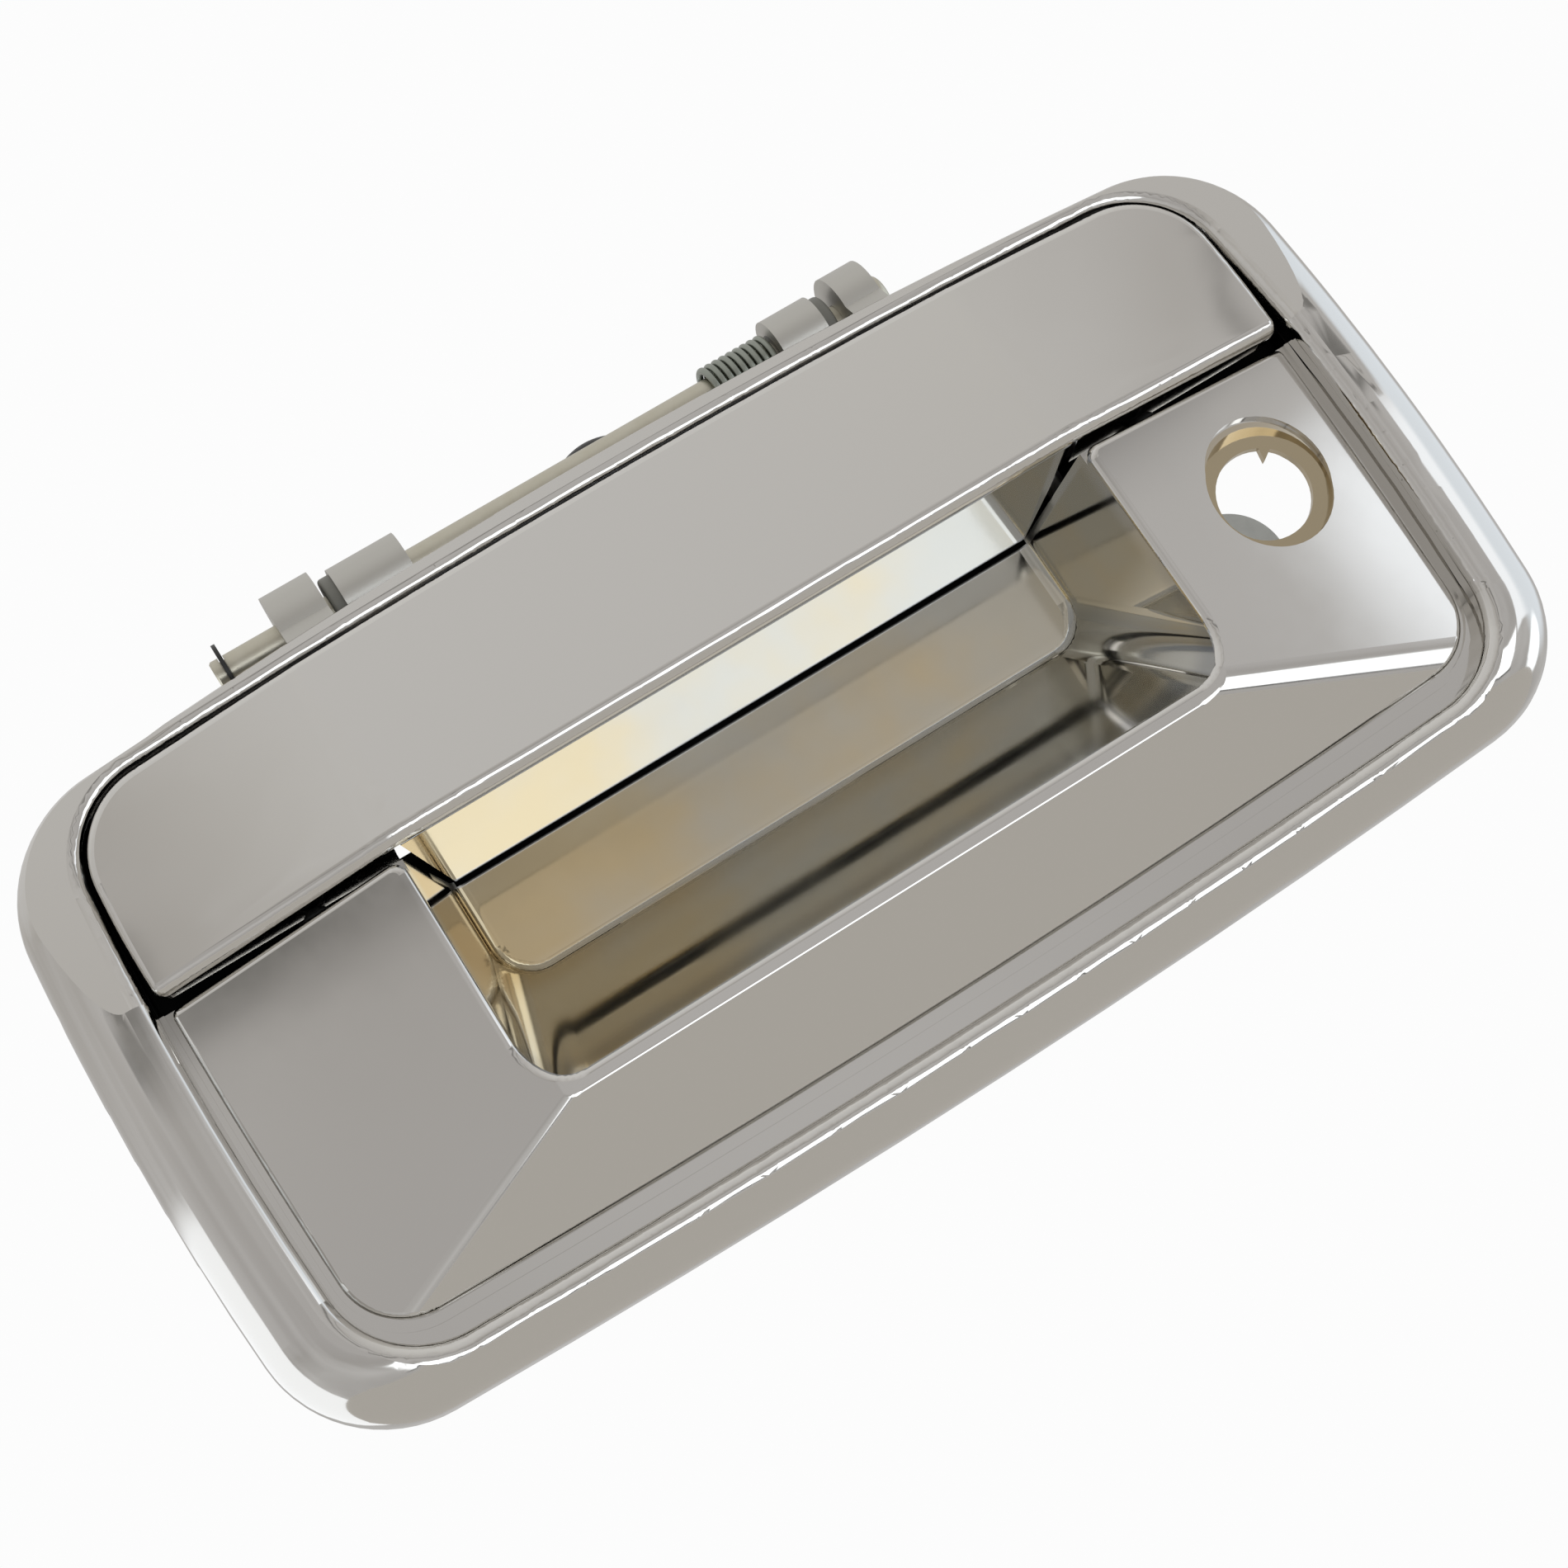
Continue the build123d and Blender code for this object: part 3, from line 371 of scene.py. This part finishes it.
class HANDLE_OT_lever_and_fixings(bpy.types.Operator):
    """Release lever, bracket, retainer, studs and screws"""
    bl_idname = "handle.lever_and_fixings"
    bl_label = "Lever And Fixings"

    def execute(self, context):
        sheet = zinc_steel("Galvanised Sheet", "#A6A7A3", "#BDBEB9", 1400.0, 0.38)
        clear = zinc_steel("Clear Zinc Plate", "#B4B5B3", "#C6C7C4", 3000.0, 0.30)
        paint_nodes(sheet, "lever_bracket", "release_lever", "cylinder_retainer")
        paint_nodes(clear, "mounting_studs", "bracket_screws")
        return {"FINISHED"}


class HANDLE_OT_rubber_and_nylon(bpy.types.Operator):
    """Stops, gasket and rod clip"""
    bl_idname = "handle.rubber_and_nylon"
    bl_label = "Rubber And Nylon"

    def execute(self, context):
        rubber = dull_polymer("Moulded Rubber", "#141414", "#2B2B2A", 1800.0, 0.62, 0.05)
        foam = dull_polymer("Closed Cell Foam", "#1B1B1B", "#333231", 1500.0, 0.85, 0.12)
        nylon = dull_polymer("Moulded Black Nylon", "#0E0E0F", "#1D1D1E", 2600.0, 0.38, 0.02)
        paint_nodes(rubber, "bumper_left", "bumper_right")
        paint_nodes(foam, "seal_gasket")
        paint_nodes(nylon, "rod_clip")
        return {"FINISHED"}


# ------------------------------------------------------------------ stage

# Heights in the room, from 0 straight down to 1 straight up, with the wall's colour there.
WALL_STOPS = ((0.0, "#B4B2B1"), (0.30, "#C6C5C4"), (0.45, "#B4B2B0"), (0.55, "#BBB9B8"),
              (0.78, "#BDBAB6"), (1.0, "#E4E3E1"))

# Upright rectangles on the walls: compass angles, heights in degrees, linear colour.
WALL_PANELS = (
    ((-40, 60), (13.0, 14.6), (0.16, 0.1552, 0.1472, 1.0)),  # dark rail
    ((-40, 60), (19.0, 19.8), (0.22, 0.2134, 0.2024, 1.0)),  # thin dark rail
    ((-12, 46), (-27, -9), (1.9, 1.97, 2.05, 1.0)),  # bright window
    ((48.5, 84), (-12, 10.5), (1.25, 1.30, 1.37, 1.0)),  # window at the keyhole end
    ((-150, -78), (-45, 8.5), (1.25, 1.28, 1.32, 1.0)),  # window at the blind end
    ((-14, 48), (-29, -27.5), (0.03, 0.03, 0.03, 1.0)),  # dark sill under the bright window
)
PANEL_SOFT_DEG = (1.2, 1.0)  # half the width of their soft edges, sideways and in height

# Round glows: direction, inner and outer angle in degrees, linear colour.
WALL_GLOWS = (
    ((0.97, 0.10, 0.05), 18, 34, (0.95, 1.02, 1.10, 1.0)),
    ((0.86, 0.0, -0.42), 8, 16, (1.9, 2.0, 2.1, 1.0)),
)
BACKDROP = (0.975, 0.975, 0.975, 1.0)


def room_light(world):
    """Grey room round the handle: pale to look at, mid grey with soft windows where the plate mirrors it."""
    world.use_nodes = True
    tree = world.node_tree
    tree.nodes.clear()
    output = add(tree, "ShaderNodeOutputWorld")
    way = add(tree, "ShaderNodeTexCoord").outputs["Generated"]
    axes = add(tree, "ShaderNodeSeparateXYZ", links={"Vector": way})
    x, y, z = axes.outputs["X"], axes.outputs["Y"], axes.outputs["Z"]
    walls = graded(tree, masked(tree, ((z, -1.0, 1.0),)), WALL_STOPS)
    # A faint cloudiness keeps the mirrored room from looking empty.
    cloud = add(tree, "ShaderNodeTexNoise", links={"Vector": way, "Scale": 2.2, "Detail": 2.0})
    cover = add(tree, "ShaderNodeMapRange", {"interpolation_type": "SMOOTHSTEP"}, {
        "Value": cloud.outputs["Fac"], "From Min": 0.35, "From Max": 0.7, "To Min": 0.0, "To Max": 0.6})
    layers = [(cover.outputs[0], linear("#D6D5D5"))]
    front = add(tree, "ShaderNodeMath", {"operation": "MULTIPLY"}, {0: y, 1: -1.0}).outputs[0]
    compass = add(tree, "ShaderNodeMath", {"operation": "ARCTAN2"}, {0: x, 1: front}).outputs[0]
    height = add(tree, "ShaderNodeMath", {"operation": "ARCSINE"}, {0: z}).outputs[0]
    for turn, rise, shade in WALL_PANELS:
        edges = []
        for angle, limits, soft_deg in zip((compass, height), (turn, rise), PANEL_SOFT_DEG):
            low, high = (math.radians(limit) for limit in limits)
            soft = math.radians(soft_deg)
            edges += [(angle, low - soft, low + soft), (angle, high + soft, high - soft)]
        layers.append((masked(tree, edges), shade))
    for direction, inner, outer, shade in WALL_GLOWS:
        toward = add(tree, "ShaderNodeVectorMath", {"operation": "DOT_PRODUCT"}, {
            0: way, 1: Vector(direction).normalized()}).outputs["Value"]
        edge = (toward, math.cos(math.radians(outer)), math.cos(math.radians(inner)))
        layers.append((masked(tree, (edge,)), shade))
    layers.append((add(tree, "ShaderNodeLightPath").outputs["Is Camera Ray"], BACKDROP))
    background = add(tree, "ShaderNodeBackground", links={
        "Color": layered(tree, walls, layers), "Strength": 1.0})
    tree.links.new(background.outputs[0], output.inputs["Surface"])


def pale_floor(stage):
    """Round studio floor below the handle."""
    mesh = bpy.data.meshes.new("floor")
    form = bmesh.new()
    bmesh.ops.create_circle(form, cap_ends=True, segments=96, radius=stage.radius)
    form.to_mesh(mesh)
    form.free()
    floor = bpy.data.objects.new("floor", mesh)
    floor.location = (0, 0, -stage.drop)
    material, tree, output, _ = new_material("Pale Studio Floor")
    shader = add(tree, "ShaderNodeBsdfDiffuse", links={"Color": linear("#E6E3DE")})
    tree.links.new(shader.outputs[0], output.inputs["Surface"])
    mesh.materials.append(material)
    return floor


def view_camera():
    """Camera below and towards the blind end, rolled about its own axis."""
    data = bpy.data.cameras.new("view")
    data.sensor_width = SENSOR_MM
    data.lens = LENS_MM
    data.clip_start, data.clip_end = 0.01, 20.0
    camera = bpy.data.objects.new("view", data)
    camera.location = CAMERA_PLACE
    aim = (CAMERA_TARGET - CAMERA_PLACE).to_track_quat("-Z", "Y").to_matrix().to_4x4()
    roll = Matrix.Rotation(math.radians(CAMERA_ROLL_DEG), 4, "Z")
    camera.rotation_mode = "QUATERNION"
    camera.rotation_quaternion = (aim @ roll).to_quaternion()
    return camera


class HANDLE_OT_stage(bpy.types.Operator):
    """Floor, room and camera"""
    bl_idname = "handle.stage"
    bl_label = "Stage"

    def execute(self, context):
        scene = context.scene
        scene.view_settings.view_transform = "Standard"
        if scene.world is None:
            scene.world = bpy.data.worlds.new("Room")
        room_light(scene.world)
        floor = pale_floor(scene.handle_stage)
        scene.collection.objects.link(floor)
        camera = view_camera()
        scene.collection.objects.link(camera)
        bpy.context.scene.camera = camera
        return {"FINISHED"}


# ------------------------------------------------------------------ panel and registration

STEPS = (HANDLE_OT_plated_castings, HANDLE_OT_hinge_hardware, HANDLE_OT_lever_and_fixings,
         HANDLE_OT_rubber_and_nylon, HANDLE_OT_stage)


class HANDLE_PT_panel(bpy.types.Panel):
    """Door handle tools"""
    bl_idname = "HANDLE_PT_panel"
    bl_label = "Door Handle"
    bl_space_type = "VIEW_3D"
    bl_region_type = "UI"
    bl_category = "Door Handle"

    def draw(self, context):
        for step in STEPS:
            self.layout.operator(step.bl_idname)


CLASSES = (HandleFinish, HandleStage) + STEPS + (HANDLE_PT_panel,)


def register():
    for item in CLASSES:
        bpy.utils.register_class(item)
    bpy.types.Scene.handle_finish = PointerProperty(type=HandleFinish)
    bpy.types.Scene.handle_stage = PointerProperty(type=HandleStage)


def unregister():
    del bpy.types.Scene.handle_stage
    del bpy.types.Scene.handle_finish
    for item in reversed(CLASSES):
        bpy.utils.unregister_class(item)


def main():
    register()
    bpy.ops.handle.plated_castings()
    bpy.ops.handle.hinge_hardware()
    bpy.ops.handle.lever_and_fixings()
    bpy.ops.handle.rubber_and_nylon()
    bpy.ops.handle.stage()


if __name__ == "__main__":
    main()
